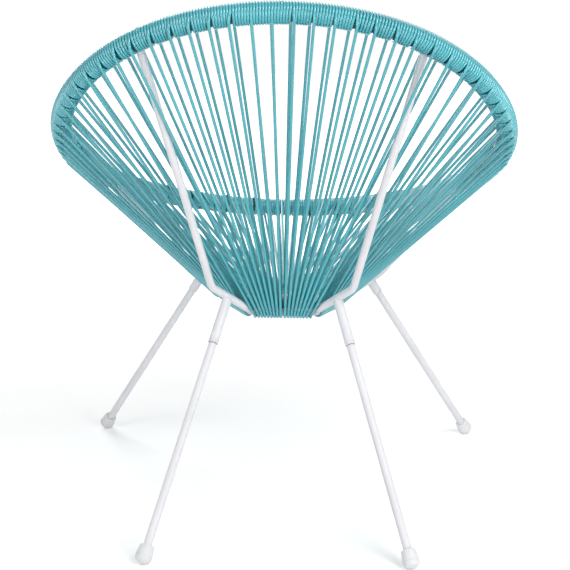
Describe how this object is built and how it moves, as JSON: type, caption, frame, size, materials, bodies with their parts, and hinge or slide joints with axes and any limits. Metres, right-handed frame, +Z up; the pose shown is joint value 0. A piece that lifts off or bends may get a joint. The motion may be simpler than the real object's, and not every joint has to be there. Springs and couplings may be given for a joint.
{
  "type": "acapulco chair",
  "caption": "Round-bowled lounge chair: a cord-wound oval rim with strands strung to a small hub ring, on bent tube supports and splayed screw-in legs with foot caps.",
  "frame": {"origin": "on the floor, midway across the chair's width and midway along its depth", "axes": "+Z up, -Y the way the sitter faces, +X to the sitter's left"},
  "size_m": [0.714, 0.7294, 0.8155],
  "materials": {
    "frame_paint": "satin white powder coat",
    "steel": "plain steel",
    "cap_plastic": "satin white",
    "cord": "semi-gloss teal"
  },
  "bodies": {
    "root": {"rim_tube": "frame_paint", "hub_ring": "frame_paint", "rear_support_left": "frame_paint", "front_support_left": "frame_paint", "rear_support_right": "frame_paint", "front_support_right": "frame_paint", "leg_socket_rear_left": "frame_paint", "socket_insert_rear_left": "steel", "leg_stud_rear_left": "steel", "leg_tube_rear_left": "frame_paint", "foot_cap_rear_left": "cap_plastic", "leg_socket_front_left": "frame_paint", "socket_insert_front_left": "steel", "leg_stud_front_left": "steel", "leg_tube_front_left": "frame_paint", "foot_cap_front_left": "cap_plastic", "leg_socket_rear_right": "frame_paint", "socket_insert_rear_right": "steel", "leg_stud_rear_right": "steel", "leg_tube_rear_right": "frame_paint", "foot_cap_rear_right": "cap_plastic", "leg_socket_front_right": "frame_paint", "socket_insert_front_right": "steel", "leg_stud_front_right": "steel", "leg_tube_front_right": "frame_paint", "foot_cap_front_right": "cap_plastic", "cord_section_01": "cord", "cord_section_02": "cord", "cord_section_03": "cord", "cord_section_04": "cord", "cord_section_05": "cord", "cord_section_06": "cord", "cord_section_07": "cord", "cord_section_08": "cord", "cord_section_09": "cord", "cord_section_10": "cord", "cord_section_11": "cord", "cord_section_12": "cord"}
  },
  "joints": []
}
